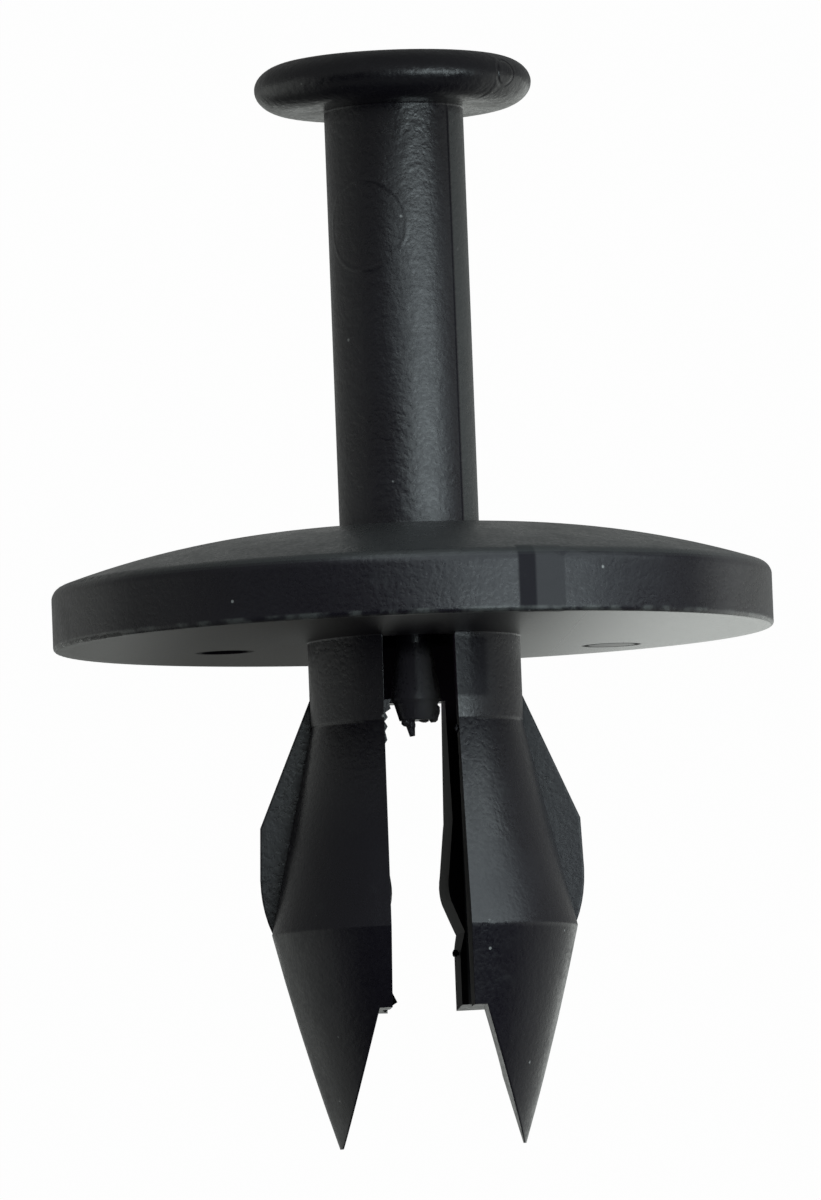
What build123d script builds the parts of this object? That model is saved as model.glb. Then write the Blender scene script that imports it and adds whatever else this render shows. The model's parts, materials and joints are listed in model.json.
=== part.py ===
"""Plastic push rivet: a retainer with a wide flange and four legs, and the pin that is pushed into it.

The rivet stands on the flat top of the pin's head. Z is its axis and runs from the head to the tips of
the legs. Two long pointed legs stand in front, on the -Y side, and two short barbed legs behind them. The
slot between the left and the right legs runs along Y. Lengths are millimetres. Depths on the legs and on
the pin's nose are measured from the flange's underside.
"""
import os
from math import sqrt

from build123d import *

# Pin: head and shank
head_d = 10.45             # outside of the head
head_t = 1.83              # thickness of the head
head_edge = 1.3            # how far the head's round edge reaches in from its rim
shank_d = 5.25
shank_out = 15.88          # shank that shows while the pin is up, which is also the push
shank_in = 3.6             # shank that is already in the hole
shank_chamfer = 0.35       # lead at the shank's end

# Pin: nose and its torn end, as depths from the flange's underside
nose_waist_d = 1.3
nose_d = 1.92
nose_from = 0.15           # depth where the nose starts to widen
nose_to = 2.4              # depth of the nose's shoulder
stub_d = 1.3               # torn stub, at its end
stub_to = 3.05             # depth of the stub's end
shred_d = 0.5              # shred of plastic that hangs from the stub
shred_l = 0.85
shred_off = 0.3            # shred's distance from the axis
shred_tilt = -8            # degrees

# Retainer: flange
flange_d = 27.1
rim_t = 2.27               # thickness at the rim
dome_rise = 1.86           # how much thicker the flange is at its crown
crown_d = 5.6              # flat land on the crown, round the bore
rim_round_top = 0.5        # rounding on the domed side
rim_round_under = 0.15
gate_w = 1.7               # gate mark: a flat where the sprue was trimmed off the rim
gate_turn = 17.9           # degrees round the rim from the front

# Retainer: neck and bore for the pin
neck_d = 8.0
bore_clearance = 0.075     # on the radius

# Retainer: front legs, long and pointed
neck_l = 3.2               # depth where they start to widen
neck_step = 0.04           # they start this much inside the neck
barb_d = 11.5              # across both front legs at their widest
barb_at = 10.95            # depth of that
tip_at = 19.05             # depth of the tips
tip_d = 7.0                # outside of the tips, across both legs
tip_w = 0.12               # thickness left at a tip
tip_bulge = 0.09           # how far the outline from barb to tip bulges out of a straight line
front_slot_w = 2.69        # slot's width at the flange
front_slot_end_w = 3.06    # slot's width at its end
front_slot_to = 13.95      # depth where the slot ends and the tips part
ledge_w = 0.47             # ledge from the slot's wall to the tip's inner face

# Retainer: back legs, short and barbed
back_from = 2.15           # depth where they start to widen
back_d = 12.2              # across both back legs at their widest
back_shoulder = 0.07       # the barb starts this much inside that
back_top = 6.9             # depths between which the barb's edge is nearly straight
back_bottom = 8.85
back_foot_d = 9.4          # below the barb
back_foot_from = 11.75     # depth where the barb has rounded off into the foot
back_to = 13.85            # depth of their ends
back_end_rise = 0.25       # how much less deep the ends are at the slot
leg_gap = 0.5              # gap between front and back legs
leg_gap_from = 1.9         # depth where that gap starts

# Retainer: slot between the back legs, as half widths far back and their depths
back_slot_draft = 3        # degrees a side that it opens towards the front
back_slot_from = 2.2       # where it starts, below a closed neck
back_slot_x = 1.02
cam_from = 6.7             # where the cams start that narrow it
cam_from_x = 1.13
cam_top_from = 8.7         # rounded top of the cams
cam_top_from_x = 0.93
cam_x = 0.89
cam_top_to = 9.75
cam_top_to_x = 0.97
cam_to = 10.95             # where the cams end
cam_to_x = 1.41
back_foot_x = 1.22         # between the feet

# Heights and sizes worked out from the ones above
crown_z = head_t + shank_out
under_z = crown_z + dome_rise + rim_t
bore_d = shank_d + 2 * bore_clearance
reach = flange_d           # longer than any cut through the legs has to be


def at(depth):
    """Height of a depth that is measured from the flange's underside."""
    return under_z + depth


def spun(*edges):
    """Solid of revolution about Z of a closed outline of edges in the XZ plane."""
    return revolve(make_face(Wire(list(edges))), Axis.Z)


def chain(*points):
    """Straight edges through (x, height) points in the XZ plane."""
    return Polyline(*[(x, 0, z) for x, z in points]).edges()


def cut_along_y(y_from, y_to, *edges):
    """Cutter along Y, between a chain of edges on the +X side and its mirror image on the other side."""
    wall = Wire(list(edges))
    twin = wall.mirror(Plane.YZ)
    ends = [Line(wall @ 0, twin @ 0).edge(), Line(wall @ 1, twin @ 1).edge()]
    outline = make_face(wall.edges() + twin.edges() + ends)
    return Pos(0, y_from, 0) * extrude(outline, amount=y_to - y_from, dir=(0, 1, 0))


# ---- Pin ----

def make_head():
    """Head with a flat top and a round edge."""
    flat_r = head_d / 2 - head_edge
    with BuildPart() as solid:
        with BuildSketch(Plane.XZ):
            with BuildLine():
                Line((0, head_t), (0, 0))
                Line((0, 0), (flat_r, 0))
                EllipticalCenterArc(
                    (flat_r, head_t / 2), head_edge, head_t / 2, start_angle=-90, arc_size=180)
                Line((flat_r, head_t), (0, head_t))
            make_face()
        revolve(axis=Axis.Z)
    return solid.part


def make_shank():
    """Shank, with a lead at its end."""
    end = crown_z + shank_in
    return spun(*chain(
        (0, head_t / 2),
        (shank_d / 2, head_t / 2),
        (shank_d / 2, end - shank_chamfer),
        (shank_d / 2 - shank_chamfer, end),
        (0, end),
        (0, head_t / 2),
    ))


def make_nose():
    """Nose that widens to a shoulder, and the torn stub under it."""
    top = crown_z + shank_in - shank_chamfer
    edge = nose_d / 16
    return spun(*chain(
        (0, top),
        (nose_waist_d / 2, top),
        (nose_waist_d / 2, at(nose_from)),
        (nose_d / 2, at(nose_to) - edge),
        (nose_d / 2 - edge, at(nose_to)),
        (stub_d / 2, at(stub_to)),
        (0, at(stub_to)),
        (0, top),
    ))


def make_shred():
    """Shred of plastic that hangs from the torn stub."""
    shred = Cone(shred_d / 2, shred_d / 5, shred_l, align=(Align.CENTER, Align.CENTER, Align.MIN))
    root = at(stub_to) - shred_d / 2
    return Pos(shred_off, 0, root) * Rot(0, shred_tilt, 0) * shred


# ---- Retainer ----

def make_flange():
    """Flange, domed towards the pin's head and flat towards the legs, with a gate mark in its rim."""
    rim_r = flange_d / 2
    rim_z = crown_z + dome_rise
    crown_r = crown_d / 2
    dome_middle = ((crown_r + rim_r) / 2, crown_z + dome_rise / 4)
    with BuildPart() as solid:
        with BuildSketch(Plane.XZ) as half:
            with BuildLine():
                Line((0, under_z), (0, crown_z))
                Line((0, crown_z), (crown_r, crown_z))
                ThreePointArc((crown_r, crown_z), dome_middle, (rim_r, rim_z))
                Line((rim_r, rim_z), (rim_r, under_z))
                Line((rim_r, under_z), (0, under_z))
            make_face()
            fillet(half.vertices().sort_by(Axis.X)[-2:].sort_by(Axis.Y)[0], radius=rim_round_top)
            fillet(half.vertices().sort_by(Axis.Y)[-2:].sort_by(Axis.X)[-1], radius=rim_round_under)
        revolve(axis=Axis.Z)
    flat_y = sqrt(rim_r ** 2 - (gate_w / 2) ** 2)
    trimmed = Pos(0, -flat_y - gate_w / 2, (rim_z + under_z) / 2) * Box(2 * gate_w, gate_w, 2 * rim_t)
    return solid.part - Rot(0, 0, -gate_turn) * trimmed


def front_slot_x(depth):
    """Half of the front slot's width at a depth."""
    return (front_slot_w + (front_slot_end_w - front_slot_w) * depth / front_slot_to) / 2


def front_half():
    """Box that holds everything in front of the gap between the legs."""
    return Pos(0, -(reach + leg_gap) / 2, at(reach / 2)) * Box(reach, reach, reach)


def back_half():
    """Box that holds everything behind the gap between the legs."""
    return Pos(0, (reach + leg_gap) / 2, at(reach / 2)) * Box(reach, reach, reach)


def make_neck():
    """Closed neck under the flange, down to where the gap between front and back legs starts."""
    root = rim_t / 2
    neck = Pos(0, 0, at((leg_gap_from - root) / 2)) * Cylinder(neck_d / 2, leg_gap_from + root)
    slot_to = leg_gap_from + leg_gap
    slot_end = (front_slot_x(slot_to), at(slot_to))
    return neck - cut_along_y(-reach / 2, 0, *chain((front_slot_x(0), at(0)), slot_end))


def make_front_legs():
    """Long front legs: they widen to a barb and narrow to sharp tips that part."""
    neck_r = neck_d / 2
    barb = (barb_d / 2, 0, at(barb_at))
    tip = (tip_d / 2, 0, at(tip_at))
    halfway = ((barb_d + tip_d) / 4 + tip_bulge, 0, at((barb_at + tip_at) / 2))
    neck = chain((0, at(0)), (neck_r, at(0)), (neck_r, at(neck_l)), (neck_r - neck_step, at(neck_l)))
    barb_top = chain((neck_r - neck_step, at(neck_l)), (barb_d / 2, at(barb_at)))
    inside = chain((tip_d / 2, at(tip_at)), (0, at(tip_at)), (0, at(0)))
    cone = spun(*neck, *barb_top, ThreePointArc(barb, halfway, tip).edge(), *inside)

    slot_end = (front_slot_x(front_slot_to), at(front_slot_to))
    slot = cut_along_y(-reach / 2, 0, *chain((front_slot_x(0), at(0)), slot_end))
    ledge_end = slot_end[0] + ledge_w
    slope = (tip_d / 2 - tip_w - ledge_end) / (tip_at - front_slot_to)
    past_tip = tip_at + ledge_w
    parting_end = (ledge_end + slope * (past_tip - front_slot_to), at(past_tip))
    parting = cut_along_y(-reach / 2, 0, *chain((ledge_end, at(front_slot_to)), parting_end))
    return (cone & front_half()) - slot - parting


def make_back_legs():
    """Short back legs: each has a long barb on the outside and a cam that narrows the slot."""
    foot_r = back_foot_d / 2
    barb_r = back_d / 2
    end = at(back_to - back_end_rise)
    barb_top = chain(
        (0, at(0)),
        (neck_d / 2, at(0)),
        (neck_d / 2, at(back_from)),
        (barb_r - back_shoulder, at(back_top)),
        (barb_r, at(back_bottom)),
    )
    arc_radii = (barb_r - foot_r, back_foot_from - back_bottom)
    rounding = EllipticalCenterArc((foot_r, at(back_bottom)), *arc_radii, start_angle=0, arc_size=90)
    foot = chain(
        (foot_r, at(back_foot_from)),
        (foot_r, at(back_to)),
        (back_foot_x, end),
        (0, end),
        (0, at(0)),
    )
    cone = spun(*barb_top, (Plane.XZ * rounding).edge(), *foot)

    cam_top_start = (cam_top_from_x, 0, at(cam_top_from))
    cam_top_end = (cam_top_to_x, 0, at(cam_top_to))
    cam_top = ThreePointArc(cam_top_start, (cam_x, 0, at((cam_top_from + cam_top_to) / 2)), cam_top_end)
    before_cam = chain(
        (back_slot_x, at(back_slot_from)),
        (cam_from_x, at(cam_from)),
        (cam_top_from_x, at(cam_top_from)),
    )
    behind_cam = chain(
        (cam_top_to_x, at(cam_top_to)),
        (cam_to_x, at(cam_to)),
        (back_foot_x, at(back_foot_from)),
        (back_foot_x, at(back_to)),
    )
    slot = cut_along_y(-reach / 2, reach / 2, *before_cam, cam_top.edge(), *behind_cam)
    far_back = Pos(0, barb_r, 0)
    legs = cone & back_half()
    for turn in (-back_slot_draft, back_slot_draft):
        legs -= far_back * Rot(0, 0, turn) * slot
    return legs


def make_retainer():
    """Whole retainer, in one piece."""
    solid = make_flange() + make_neck() + make_front_legs() + make_back_legs()
    bore_l = tip_at + rim_t + dome_rise
    bore = Pos(0, 0, crown_z + bore_l / 2) * Cylinder(bore_d / 2, 2 * bore_l)
    return solid - bore


parts = {
    "pin": make_head() + make_shank() + make_nose() + make_shred(),
    "retainer": make_retainer(),
}

os.makedirs("parts", exist_ok=True)
for name, solid in parts.items():
    export_step(solid, f"parts/{name}.step")
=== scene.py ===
"""Looks of the plastic push rivet: black nylon, satin and finely grained, on a pale studio floor.

The rivet stands on the head of its pin, so the camera is turned over to show it with the head at the top.
Lengths are metres, except where a name or a comment says mm.
"""
import json
import math
import random

import bpy
from mathutils import Matrix, Vector


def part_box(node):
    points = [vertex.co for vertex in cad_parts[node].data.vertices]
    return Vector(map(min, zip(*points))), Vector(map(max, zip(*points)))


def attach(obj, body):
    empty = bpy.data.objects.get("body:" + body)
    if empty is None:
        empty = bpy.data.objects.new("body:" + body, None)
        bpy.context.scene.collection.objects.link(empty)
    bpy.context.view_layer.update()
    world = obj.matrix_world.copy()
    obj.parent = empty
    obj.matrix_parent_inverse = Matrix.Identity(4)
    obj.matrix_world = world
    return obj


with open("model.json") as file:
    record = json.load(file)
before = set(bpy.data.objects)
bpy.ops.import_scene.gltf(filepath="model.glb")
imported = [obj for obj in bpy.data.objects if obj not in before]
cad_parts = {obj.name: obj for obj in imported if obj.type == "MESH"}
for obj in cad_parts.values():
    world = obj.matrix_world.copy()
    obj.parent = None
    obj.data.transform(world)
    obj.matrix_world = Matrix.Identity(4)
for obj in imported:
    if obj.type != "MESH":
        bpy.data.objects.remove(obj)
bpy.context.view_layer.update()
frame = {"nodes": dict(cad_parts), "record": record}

MM = 0.001

# Photograph, in pixels
PHOTO_W, PHOTO_H = 821, 1200
PX_PER_MM = 26.6           # on the rivet's axis
AXIS_X_PX = 412.1          # where the axis crosses the middle row
UNDER_Y_PX = 639.7         # underside of the flange on the axis, once the roll is taken out
ROLL_DEG = 2.2             # the rivet leans this much to the left

# Camera
CAM_DISTANCE_MM = 420
CAM_ABOVE_DEG = 4.15       # towards the legs
CAM_SIDE_DEG = 2.8         # towards +X
SENSOR_MM = 24             # along the picture's long side

# World: direction, cosines between which the glow rises, and its strength
WORLD_GLOWS = (
    ((-0.866, 0.5, 0), 0.5, 0.95, 0.75),
    ((0.94, 0.34, 0), 0.6, 0.95, 0.62),
    ((-0.1, 0.995, 0), 0.8, 1.0, 0.63),
    ((0, 0, 1), 0.4, 0.95, 0.12),
)
WORLD_DIM = 0.02           # from every side, added to the glows
WORLD_TINT = (0.96, 1.0, 0.965, 1)

# Lamps: name, place, target, size and power in watts
LAMPS = (
    ("panel", (-0.07, -0.12, 0.002), (-0.07, -0.12, 1), (0.16, 0.20), 0.20),
    ("key", (-0.20, -0.30, 0.045), (0, 0, 0.02), (0.30, 0.10), 0.56),
)
LAMP_TINT = (0.84, 0.965, 1.0)

# Floor: share of pure white in what the camera sees of it, and in its mirror image
FLOOR_GLOW_SEEN = 0.985
FLOOR_GLOW_MIRRORED = 0.12
FLOOR_COLOUR = (0.8, 0.8, 0.79, 1)
FLOOR_HALF = 4.0
WHITE = (1, 1, 1, 1)

# Places on the rivet, from the frame
mounts = {mount["name"]: mount for mount in frame["record"]["mounts"]}
UNDER_Z = mounts["panel_hole"]["pos_m"][2]
RIM_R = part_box("retainer")[1][0]

# Colours of the plastic, and of painted light and shade on it, linear
BLACK_DEEP = (0.0058, 0.0047, 0.0080, 1)
BLACK_PALE = (0.0090, 0.0079, 0.0118, 1)
SCUFF = (0.020, 0.021, 0.023, 1)
# Painted reflection: the dome is made greyer in place of its bright grazing reflection
DOME_PAINTED_REFLECTION = (0.027, 0.028, 0.029, 1)
# Rubbed wear on the rim's edge, and painted light on the pin's shank past its parting line
RUBBED_AND_PAINTED_LIGHT = (0.050, 0.052, 0.052, 1)
DUST = (0.22, 0.22, 0.22, 1)
TORN = (0.060, 0.054, 0.064, 1)
# Painted highlight on the -X side of the pin's torn end
TORN_PAINTED_HIGHLIGHT = (0.24, 0.23, 0.24, 1)
# Painted shade in the slot, and paler painted light near its top by the flange
SLOT_PAINTED_SHADE = (0.0030, 0.0028, 0.0036, 1)
SLOT_TOP_PAINTED_LIGHT = (0.12, 0.090, 0.135, 1)
# Browner tint of the underside towards +X
UNDERSIDE_BROWN_TINT = (0.024, 0.019, 0.015, 1)

# Its grain: scales count features a metre
CLOUD_SCALE = 250
SCUFF_SCALE = 900
DUST_SCALE = 1400
PEEL_SCALE = 3000
GRAIN_SCALE = 7000
RUB_SCALE = 1300
DUSTY_CELLS = 0.1                   # share of the cells that hold a speck
GRAIN_HEIGHT = 0.02 * MM
PEEL_HEIGHT_RETAINER = 0.024 * MM
PEEL_HEIGHT_PIN = 0.05 * MM
EDGE_ROUNDING = 0.12 * MM
PLAIN_GLOSS = 0.5                   # of the shader's specular level

# Underside of the flange: marks as (x, y) and how dark each is inside its ring
EJECTOR_MARKS = (((7.0 * MM, 3.5 * MM), 1.0), ((-7.9 * MM, 6.9 * MM), 0.15))
EJECTOR_R = 1.0 * MM
EJECTOR_INSIDE_R = 0.85 * MM
EJECTOR_EDGE = 0.2 * MM

# Rim of the flange: angles round the axis count from the front towards -X
GATE_FROM = math.radians(14.3)
GATE_SHADED_TO = math.radians(16.6)
GATE_TO = math.radians(21.5)
RIGHT_END = (math.radians(45), math.radians(62))
LEFT_END = (math.radians(-65), math.radians(-50))

# Legs and slot: x is half the width, measured from the middle plane
TIPS_FROM = UNDER_Z + 10.95 * MM
SLOT_X = 1.62 * MM
SLOT_EDGES_X = 2.0 * MM
SLOT_FRONT_Y = -2.1 * MM

# Pin
SHANK_FROM = 1.9 * MM
SHANK_RING = (1.43 * MM, -2.2 * MM, 6.35 * MM)
SHANK_RING_R = 1.7 * MM
HEAD_NICK = (-4.1 * MM, -3.2 * MM, 0.9 * MM)
HEAD_NICK_R = 0.5 * MM
PARTING_TURN = math.radians(48)
TORN_FROM = UNDER_Z + 0.1 * MM

# Torn bits: mm, heights counted from the flange's underside
NOSE_LOBES = (
    ((0.40, -0.05, 3.05), (0.20, 0.26, 0.22)),
    ((0.20, -0.05, 3.20), (0.16, 0.20, 0.20)),
    ((-0.62, -0.05, 2.96), (0.18, 0.30, 0.20)),
    ((-0.78, 0.00, 2.72), (0.12, 0.26, 0.26)),
    ((-0.26, -0.05, 3.04), (0.20, 0.30, 0.12)),
)
LEG_CRUMBS = (
    ((-1.27, 3.0, 11.72), (0.13, 0.2, 0.15)),
    ((-1.30, -3.6, 3.6), (0.10, 0.1, 0.16)),
)
SLOT_SLIVERS = (
    (1.62, 2.45), (1.08, 2.42), (1.17, 2.60), (1.12, 2.78), (1.33, 2.92), (1.24, 3.10),
    (1.37, 3.25), (1.26, 3.45), (1.36, 3.62), (1.29, 3.95), (1.42, 4.15), (1.62, 4.15),
)
FOOT_BURR = ((1.50, 12.80), (1.24, 13.00), (1.00, 13.50), (1.20, 13.62), (1.46, 13.86), (1.72, 13.60))
SLIVERS_Y = (-3.45, -3.15)
FOOT_BURR_Y = (2.8, 3.4)
CRUMB_SWELL = (0.78, 1.12)


def aim_point():
    """Point of the rivet's middle plane that is at the middle of the photograph."""
    side = (AXIS_X_PX - PHOTO_W / 2) / PX_PER_MM * MM
    drop = (PHOTO_H / 2 - UNDER_Y_PX) / PX_PER_MM * MM
    return Vector((side, 0, UNDER_Z + drop))


def make_camera():
    """Camera at the photograph's viewing angle, turned over and rolled."""
    above, side = math.radians(CAM_ABOVE_DEG), math.radians(CAM_SIDE_DEG)
    back = Vector((math.sin(side) * math.cos(above), -math.cos(side) * math.cos(above), math.sin(above)))
    picture_up = Vector((0, 0, -1))
    right = picture_up.cross(back).normalized()
    up = back.cross(right)
    turn = Matrix((right, up, back)).transposed() @ Matrix.Rotation(math.radians(-ROLL_DEG), 3, "Z")
    data = bpy.data.cameras.new("camera")
    camera = bpy.data.objects.new("camera", data)
    bpy.context.scene.collection.objects.link(camera)
    camera.matrix_world = Matrix.Translation(aim_point() + back * CAM_DISTANCE_MM * MM) @ turn.to_4x4()
    data.sensor_width = SENSOR_MM
    data.lens = data.sensor_width * CAM_DISTANCE_MM * PX_PER_MM / PHOTO_H
    data.clip_start = 0.01
    data.clip_end = 20
    bpy.context.scene.camera = camera


def area_light(name, place, target, size, energy):
    """Rectangular softbox at a place, facing a target, hidden from the camera."""
    data = bpy.data.lights.new(name, "AREA")
    data.shape = "RECTANGLE"
    data.size, data.size_y = size
    data.energy = energy
    data.color = LAMP_TINT
    lamp = bpy.data.objects.new(name, data)
    bpy.context.scene.collection.objects.link(lamp)
    lamp.location = place
    lamp.rotation_euler = (Vector(target) - Vector(place)).to_track_quat("-Z", "Y").to_euler()
    lamp.visible_camera = False


def directed_glow(tree, toward, start, full, strength):
    """Light of the world that rises smoothly from one cosine to another as a direction nears `toward`."""
    nodes, links = tree.nodes, tree.links
    where = nodes.new("ShaderNodeTexCoord")
    cosine = nodes.new("ShaderNodeVectorMath")
    cosine.operation = "DOT_PRODUCT"
    cosine.inputs[1].default_value = Vector(toward).normalized()
    rise = nodes.new("ShaderNodeMapRange")
    rise.interpolation_type = "SMOOTHSTEP"
    rise.inputs["From Min"].default_value = start
    rise.inputs["From Max"].default_value = full
    rise.inputs["To Max"].default_value = strength
    links.new(where.outputs["Generated"], cosine.inputs[0])
    links.new(cosine.outputs["Value"], rise.inputs["Value"])
    return rise.outputs[0]


def make_world():
    """White to the camera. It lights the rivet from the sides and from behind, hardly from the front."""
    world = bpy.data.worlds.new("studio")
    bpy.context.scene.world = world
    world.use_nodes = True
    tree = world.node_tree
    nodes, links = tree.nodes, tree.links
    nodes.clear()
    glows = [directed_glow(tree, *glow) for glow in WORLD_GLOWS]
    total = nodes.new("ShaderNodeMath")
    total.operation = "ADD"
    total.inputs[1].default_value = WORLD_DIM
    links.new(glows[0], total.inputs[0])
    for glow in glows[1:]:
        sum_so_far = total
        total = nodes.new("ShaderNodeMath")
        total.operation = "ADD"
        links.new(sum_so_far.outputs[0], total.inputs[0])
        links.new(glow, total.inputs[1])
    lit = nodes.new("ShaderNodeBackground")
    lit.inputs["Color"].default_value = WORLD_TINT
    links.new(total.outputs[0], lit.inputs["Strength"])
    seen = nodes.new("ShaderNodeBackground")
    seen.inputs["Color"].default_value = WHITE
    path = nodes.new("ShaderNodeLightPath")
    mix = nodes.new("ShaderNodeMixShader")
    links.new(path.outputs["Is Camera Ray"], mix.inputs[0])
    links.new(lit.outputs[0], mix.inputs[1])
    links.new(seen.outputs[0], mix.inputs[2])
    out = nodes.new("ShaderNodeOutputWorld")
    links.new(mix.outputs[0], out.inputs[0])


def make_floor():
    """Plain pale floor, shown so near to white that hardly any of the rivet's shadow is left."""
    half = FLOOR_HALF
    corners = [(-half, -half, 0), (half, -half, 0), (half, half, 0), (-half, half, 0)]
    mesh = bpy.data.meshes.new("floor")
    mesh.from_pydata(corners, [], [(0, 1, 2, 3)])
    floor = bpy.data.objects.new("floor", mesh)
    bpy.context.scene.collection.objects.link(floor)
    material = bpy.data.materials.new("pale_floor")
    material.use_nodes = True
    nodes, links = material.node_tree.nodes, material.node_tree.links
    nodes.clear()
    out = nodes.new("ShaderNodeOutputMaterial")
    diffuse = nodes.new("ShaderNodeBsdfDiffuse")
    diffuse.inputs["Color"].default_value = FLOOR_COLOUR
    glow = nodes.new("ShaderNodeEmission")
    glow.inputs["Color"].default_value = WHITE
    glow.inputs["Strength"].default_value = 1.0
    mix = nodes.new("ShaderNodeMixShader")
    path = nodes.new("ShaderNodeLightPath")
    mirrored = nodes.new("ShaderNodeMath")
    mirrored.operation = "MULTIPLY"
    mirrored.inputs[1].default_value = FLOOR_GLOW_MIRRORED
    links.new(path.outputs["Is Glossy Ray"], mirrored.inputs[0])
    share = nodes.new("ShaderNodeMath")
    share.operation = "MULTIPLY_ADD"
    share.inputs[1].default_value = FLOOR_GLOW_SEEN
    links.new(path.outputs["Is Camera Ray"], share.inputs[0])
    links.new(mirrored.outputs[0], share.inputs[2])
    links.new(share.outputs[0], mix.inputs[0])
    links.new(diffuse.outputs[0], mix.inputs[1])
    links.new(glow.outputs[0], mix.inputs[2])
    links.new(mix.outputs[0], out.inputs[0])
    mesh.materials.append(material)


class Nylon:
    """Black nylon under construction: each helper adds nodes and gives their output."""

    def __init__(self, name, seed, peel_height):
        self.material = bpy.data.materials.new(name)
        self.material.use_nodes = True
        self.tree = self.material.node_tree
        self.place = self.node("ShaderNodeTexCoord").outputs["Object"]
        self.x, self.y, self.z = self.split(self.place)
        self.gloss = PLAIN_GLOSS
        self.rounding = EDGE_ROUNDING
        self.start(seed, peel_height)

    def start(self, seed, peel_height):
        """Colour, roughness and relief that the whole piece has: clouds, scuffs, dust, grain."""
        cloud = self.noise(CLOUD_SCALE, 4, seed)
        grain = self.noise(GRAIN_SCALE, 3, seed)
        scuff = self.noise(SCUFF_SCALE, 5, seed + 10)
        peel = self.noise(PEEL_SCALE, 2, seed + 20)
        self.colour = self.mix(self.steps(cloud, 0.3, 0.7), BLACK_DEEP, BLACK_PALE)
        self.roughness = self.steps(cloud, 0.3, 0.7, 0.30, 0.38)
        self.roughness = self.math("ADD", self.roughness, self.steps(scuff, 0.4, 0.8, -0.03, 0.06))
        self.roughness = self.math("ADD", self.roughness, self.steps(grain, 0.3, 0.7, -0.06, 0.06))
        self.paint(self.steps(scuff, 0.60, 0.74, 0.0, 0.35), colour=SCUFF)
        self.paint(self.specks(), colour=DUST)
        self.heights = [(peel, peel_height, 0.5), (grain, GRAIN_HEIGHT, 0.6)]

    def node(self, kind):
        return self.tree.nodes.new(kind)

    def link(self, source, target):
        """Join an output to an input, or set the input to a plain value."""
        if isinstance(source, bpy.types.NodeSocket):
            self.tree.links.new(source, target)
        else:
            target.default_value = source

    def split(self, vector):
        node = self.node("ShaderNodeSeparateXYZ")
        self.link(vector, node.inputs[0])
        return node.outputs

    def math(self, operation, first, second=0.0):
        node = self.node("ShaderNodeMath")
        node.operation = operation
        self.link(first, node.inputs[0])
        self.link(second, node.inputs[1])
        return node.outputs[0]

    def product(self, *factors):
        result = factors[0]
        for factor in factors[1:]:
            result = self.math("MULTIPLY", result, factor)
        return result

    def steps(self, value, low, high, to_low=0.0, to_high=1.0):
        """Smooth change from one value to another as `value` goes from low to high."""
        node = self.node("ShaderNodeMapRange")
        node.interpolation_type = "SMOOTHSTEP"
        for source, target in zip((value, low, high, to_low, to_high), node.inputs):
            self.link(source, target)
        return node.outputs[0]

    def above(self, value, limit, soft):
        """0 up to a limit, rising to 1 over `soft` past it."""
        return self.steps(value, limit, limit + soft)

    def below(self, value, limit, soft):
        """1 up to a limit, falling to 0 over `soft` past it."""
        return self.steps(value, limit, limit + soft, 1.0, 0.0)

    def between(self, value, low, high, soft):
        """1 while `value` lies between two limits, falling to 0 over `soft` beyond them."""
        return self.product(self.above(value, low - soft, soft), self.below(value, high, soft))

    def turn(self):
        """Angle round the rivet's axis, from the front towards -X."""
        return self.math("ARCTAN2", self.math("MULTIPLY", self.x, -1.0), self.math("MULTIPLY", self.y, -1.0))

    def radius(self):
        """Distance from the rivet's axis."""
        return self.math("SQRT", self.math("ADD", self.product(self.x, self.x), self.product(self.y, self.y)))

    def near(self, point, reach, soft):
        """1 within `reach` of a point, falling to 0 over `soft`."""
        node = self.node("ShaderNodeVectorMath")
        node.operation = "DISTANCE"
        self.link(self.place, node.inputs[0])
        node.inputs[1].default_value = point
        return self.below(node.outputs["Value"], reach, soft)

    def ring(self, point, radius, width):
        """1 on a ring round a point, 0 away from it."""
        outer = self.near(point, radius, width)
        inner = self.near(point, radius - width, width)
        return self.math("SUBTRACT", outer, inner)

    def noise(self, scale, detail, seed):
        node = self.node("ShaderNodeTexNoise")
        node.noise_dimensions = "4D"
        self.link(self.place, node.inputs["Vector"])
        node.inputs["W"].default_value = seed
        node.inputs["Scale"].default_value = scale
        node.inputs["Detail"].default_value = detail
        return node.outputs["Fac"]

    def specks(self):
        """1 on small round specks, one in a few of the cells that fill the piece."""
        cells = self.node("ShaderNodeTexVoronoi")
        self.link(self.place, cells.inputs["Vector"])
        cells.inputs["Scale"].default_value = DUST_SCALE
        draw = self.node("ShaderNodeSeparateColor")
        self.link(cells.outputs["Color"], draw.inputs[0])
        chosen = self.math("GREATER_THAN", draw.outputs[0], 1 - DUSTY_CELLS)
        return self.product(self.steps(cells.outputs["Distance"], 0.04, 0.11, 1.0, 0.0), chosen)

    def mix(self, share, first, second, kind="RGBA"):
        """From the first to the second as `share` goes from 0 to 1. The kind is RGBA or FLOAT."""
        node = self.node("ShaderNodeMix")
        node.data_type = kind
        self.link(share, node.inputs["Factor"])
        self.link(first, node.inputs["A"])
        self.link(second, node.inputs["B"])
        return node.outputs["Result"]

    def paint(self, share, colour=None, gloss=None, roughness=None):
        """Change the colour, gloss or roughness where `share` is 1."""
        if colour is not None:
            self.colour = self.mix(share, self.colour, colour)
        if gloss is not None:
            self.gloss = self.mix(share, self.gloss, gloss, "FLOAT")
        if roughness is not None:
            self.roughness = self.mix(share, self.roughness, roughness, "FLOAT")

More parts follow.
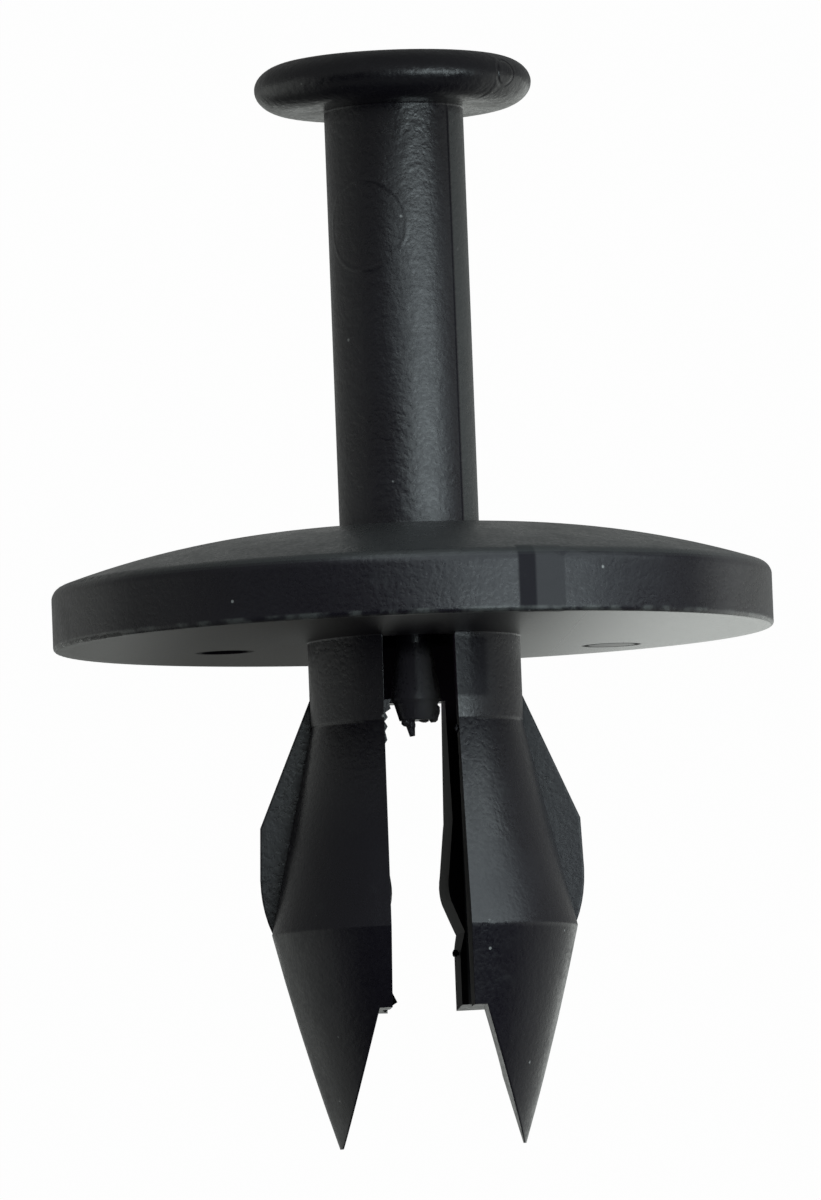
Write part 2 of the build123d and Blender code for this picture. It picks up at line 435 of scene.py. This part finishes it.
    def finish(self):
        """Wire up the shader, with the bumps stacked as (height, distance, strength) on rounded edges."""
        shader = self.tree.nodes["Principled BSDF"]
        self.link(self.colour, shader.inputs["Base Color"])
        self.link(self.roughness, shader.inputs["Roughness"])
        self.link(self.gloss, shader.inputs["Specular IOR Level"])
        rounded = self.node("ShaderNodeBevel")
        rounded.samples = 6
        self.link(self.rounding, rounded.inputs["Radius"])
        normal = rounded.outputs[0]
        for height, distance, strength in self.heights:
            bump = self.node("ShaderNodeBump")
            bump.inputs["Distance"].default_value = distance
            self.link(strength, bump.inputs["Strength"])
            self.link(height, bump.inputs["Height"])
            self.link(normal, bump.inputs["Normal"])
            normal = bump.outputs[0]
        self.link(normal, shader.inputs["Normal"])
        return self.material


def finish_underside(nylon, facing_z):
    """Sheen that fades towards +X, a browner tint towards +X, a dull patch of painted dark reflection in
    front of the neck, ejector marks.
    """
    underside = nylon.product(nylon.steps(facing_z, 0.90, 0.98),
                              nylon.between(nylon.z, UNDER_Z - 0.1 * MM, UNDER_Z + 0.1 * MM, 0.2 * MM))
    sheen = nylon.steps(nylon.x, -12.5 * MM, 4.5 * MM, 0.08, 0.64)
    sheen = nylon.math("SUBTRACT", sheen, nylon.steps(nylon.x, 7 * MM, 12 * MM, 0.0, 0.2))
    nylon.paint(underside, roughness=sheen)
    # Underside browner towards +X
    nylon.paint(nylon.product(underside, nylon.steps(nylon.x, -6 * MM, 4 * MM)), colour=UNDERSIDE_BROWN_TINT)
    # Painted reflection: a dark, dull patch in front of the neck in place of the neck's dark reflection
    middle = nylon.steps(nylon.math("ABSOLUTE", nylon.x), 2 * MM, 6 * MM, 0.8, 0.0)
    before_neck = nylon.steps(nylon.y, -4 * MM, 3 * MM, 1.0, 0.0)
    nylon.paint(nylon.product(middle, before_neck, underside), colour=BLACK_PALE, gloss=0.05, roughness=0.35)
    for place, darkness in EJECTOR_MARKS:
        centre = (*place, UNDER_Z)
        inside = nylon.product(nylon.near(centre, EJECTOR_INSIDE_R, EJECTOR_EDGE), underside, darkness)
        edge = nylon.product(nylon.ring(centre, EJECTOR_R, EJECTOR_EDGE), underside, 0.7)
        nylon.paint(nylon.math("MAXIMUM", inside, edge), colour=BLACK_DEEP, gloss=0.0, roughness=0.9)


def finish_rim(nylon):
    """Rim of the flange: glossier past its two ends, with the cut gate and a rubbed edge towards the legs.

    The angle wraps at the back, out of the photograph's sight, and the gloss has a step there.
    """
    turn = nylon.turn()
    rim = nylon.above(nylon.radius(), RIM_R - 0.7 * MM, 0.3 * MM)
    right_gloss = nylon.steps(turn, *RIGHT_END, 0.34, 1.6)
    left_gloss = nylon.steps(turn, *LEFT_END, 0.4, 0.0)
    nylon.paint(rim, gloss=nylon.math("ADD", right_gloss, left_gloss))
    nylon.paint(nylon.product(nylon.between(turn, GATE_FROM, GATE_TO, 0.006), rim), roughness=0.5)
    nylon.paint(nylon.product(nylon.between(turn, GATE_FROM, GATE_SHADED_TO, 0.01), rim), gloss=0.1)
    worn = nylon.steps(nylon.noise(RUB_SCALE, 5, 5.0), 0.44, 0.60)
    leg_edge = nylon.between(nylon.z, UNDER_Z - 0.15 * MM, UNDER_Z + 0.1 * MM, 0.1 * MM)
    nylon.paint(nylon.product(worn, leg_edge, rim), colour=RUBBED_AND_PAINTED_LIGHT)


def finish_legs(nylon):
    """Duller tips, +X leg, back legs and strip of the neck by the slot. The back legs are smoother too."""
    nylon.paint(nylon.above(nylon.z, TIPS_FROM, 0.2 * MM), gloss=0.22)
    past_neck = nylon.steps(nylon.z, UNDER_Z + 4.5 * MM, UNDER_Z + 8 * MM)
    nylon.paint(nylon.product(nylon.above(nylon.x, 0.0, 1 * MM), past_neck), gloss=0.30)
    fins = nylon.product(nylon.above(nylon.y, 0.0, 0.2 * MM), nylon.above(nylon.z, UNDER_Z + 1 * MM, 1 * MM))
    nylon.paint(fins, gloss=0.44)
    nylon.heights = [(height, distance, nylon.mix(fins, strength, 0.6 * strength, "FLOAT"))
                     for height, distance, strength in nylon.heights]
    neck = nylon.between(nylon.z, UNDER_Z + 0.3 * MM, UNDER_Z + 2.3 * MM, 0.2 * MM)
    nylon.paint(nylon.product(nylon.between(nylon.x, -2.4 * MM, -1.3 * MM, 0.3 * MM), neck), gloss=0.22)


def finish_slot(nylon, facing_x, facing_y):
    """Painted shade on the dull walls of the slot, paler painted light near its top, and sharper edges along
    it.
    """
    half_width = nylon.math("ABSOLUTE", nylon.x)
    past_flange = nylon.above(nylon.z, UNDER_Z, 0.2 * MM)
    walls = nylon.steps(nylon.math("ABSOLUTE", facing_x), 0.55, 0.75)
    front_faces = nylon.product(nylon.above(nylon.y, SLOT_FRONT_Y, 0.2 * MM),
                                nylon.steps(facing_y, -0.7, -0.5, 1.0, 0.0))
    slot = nylon.product(past_flange, nylon.below(half_width, SLOT_X, 0.08 * MM),
                         nylon.math("MAXIMUM", walls, front_faces))
    # Painted shade on the slot's walls, with paler painted light near the flange
    depth = nylon.steps(nylon.z, UNDER_Z + 2.2 * MM, UNDER_Z + 3.4 * MM)
    nylon.paint(slot, colour=nylon.mix(depth, SLOT_TOP_PAINTED_LIGHT, SLOT_PAINTED_SHADE), gloss=0.05, roughness=0.6)
    by_slot = nylon.product(past_flange, nylon.below(half_width, SLOT_EDGES_X, 0.2 * MM))
    nylon.rounding = nylon.mix(by_slot, EDGE_ROUNDING, 0.2 * EDGE_ROUNDING, "FLOAT")


def retainer_nylon():
    """Nylon of the retainer, with a greyer dome as painted reflection and the finish of each of its other
    parts.
    """
    nylon = Nylon("retainer_nylon", 1.0, PEEL_HEIGHT_RETAINER)
    facing_x, facing_y, facing_z = nylon.split(nylon.node("ShaderNodeNewGeometry").outputs["True Normal"])
    finish_underside(nylon, facing_z)
    # Painted reflection: greyer colour over the dome's whole face
    nylon.paint(nylon.steps(facing_z, -0.6, -0.3, 1.0, 0.0), colour=DOME_PAINTED_REFLECTION)
    finish_rim(nylon)
    finish_legs(nylon)
    finish_slot(nylon, facing_x, facing_y)
    return nylon.finish()


def pin_nylon():
    """Nylon of the pin, with its parting line, painted light on the shank past it, a faint ring, a nick in
    the head and a paler torn end with a painted highlight towards -X.
    """
    nylon = Nylon("pin_nylon", 2.0, PEEL_HEIGHT_PIN)
    turn = nylon.turn()
    shank = nylon.above(nylon.z, SHANK_FROM, 0.3 * MM)
    nylon.heights += [
        (nylon.ring(SHANK_RING, SHANK_RING_R, 0.14 * MM), 0.015 * MM, 0.7),
        (nylon.ring(HEAD_NICK, HEAD_NICK_R, 0.12 * MM), -0.03 * MM, 0.9),
        (nylon.between(turn, PARTING_TURN, PARTING_TURN, 0.05), 0.02 * MM, 0.5),
    ]
    # Painted light: the side of the shank past the parting line is made lighter, in place of its bright edge
    nylon.paint(nylon.product(nylon.above(turn, PARTING_TURN, 0.05), shank, 0.8), colour=RUBBED_AND_PAINTED_LIGHT)
    seam = nylon.between(turn, PARTING_TURN - 0.02, PARTING_TURN, 0.02)
    nylon.paint(nylon.product(seam, shank), gloss=0.15)
    # Paler torn plastic, with a painted highlight towards -X
    torn_colour_and_highlight = nylon.mix(nylon.steps(nylon.x, -0.5 * MM, 0.1 * MM), TORN_PAINTED_HIGHLIGHT, TORN)
    nylon.paint(nylon.above(nylon.z, TORN_FROM, 0.8 * MM), colour=torn_colour_and_highlight)
    return nylon.finish()


def mm_point(x, y, under):
    """World place of a point given in mm, its height counted from the flange's underside."""
    return (x * MM, y * MM, UNDER_Z + under * MM)


def add_mesh(name, points, faces, piece_of):
    """A closed mesh that belongs to one of the two mouldings and moves with it."""
    mesh = bpy.data.meshes.new(name)
    mesh.from_pydata(points, [], faces)
    mesh.materials.append(bpy.data.materials[piece_of + "_nylon"])
    piece = bpy.data.objects.new(name, mesh)
    bpy.context.scene.collection.objects.link(piece)
    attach(piece, piece_of + "_body")


def flake(name, outline, y_front, y_back, piece_of):
    """Thin torn piece: a clockwise outline of (x, height) in mm, carried from one y to another."""
    count = len(outline)
    points = [mm_point(x, y_front, under) for x, under in outline]
    points += [mm_point(x, y_back, under) for x, under in outline]
    faces = [tuple(reversed(range(count))), tuple(range(count, 2 * count))]
    faces += [(i, (i + 1) % count, (i + 1) % count + count, i + count) for i in range(count)]
    add_mesh(name, points, faces, piece_of)


def crumb(name, centre, size, seed, piece_of):
    """Rough lump of torn plastic: a ball with every point moved in or out a little."""
    rng = random.Random(seed)
    rows, columns = 6, 10

    def point(lean, turn):
        swell = rng.uniform(*CRUMB_SWELL)
        toward = (math.sin(lean) * math.cos(turn), math.sin(lean) * math.sin(turn), math.cos(lean))
        return mm_point(*(centre[i] + size[i] * swell * toward[i] for i in range(3)))

    points = [point(math.pi * row / rows, math.tau * column / columns)
              for row in range(1, rows) for column in range(columns)]
    top, bottom = len(points), len(points) + 1
    points += [point(0, 0), point(math.pi, 0)]
    faces = []
    for column in range(columns):
        beside = (column + 1) % columns
        faces.append((top, column, beside))
        for row in range(rows - 2):
            here = row * columns
            faces.append((here + column, here + column + columns, here + beside + columns, here + beside))
        last = (rows - 2) * columns
        faces.append((bottom, last + beside, last + column))
    add_mesh(name, points, faces, piece_of)


def add_torn_bits():
    """Torn plastic that stands out past the outline: at the pin's end and on the legs."""
    for number, (centre, size) in enumerate(NOSE_LOBES):
        crumb(f"nose_lobe_{number}", centre, size, number, "pin")
    for number, (centre, size) in enumerate(LEG_CRUMBS):
        crumb(f"leg_crumb_{number}", centre, size, 20 + number, "retainer")
    flake("slot_slivers", SLOT_SLIVERS, *SLIVERS_Y, "retainer")
    flake("foot_burr", FOOT_BURR, *FOOT_BURR_Y, "retainer")


def dress(node, material):
    """Give a solid of the frame its material."""
    mesh = frame["nodes"][node].data
    mesh.materials.clear()
    mesh.materials.append(material)


bpy.context.scene.view_settings.view_transform = "Standard"
make_camera()
make_world()
make_floor()
for lamp in LAMPS:
    area_light(*lamp)
dress("retainer", retainer_nylon())
dress("pin", pin_nylon())
add_torn_bits()
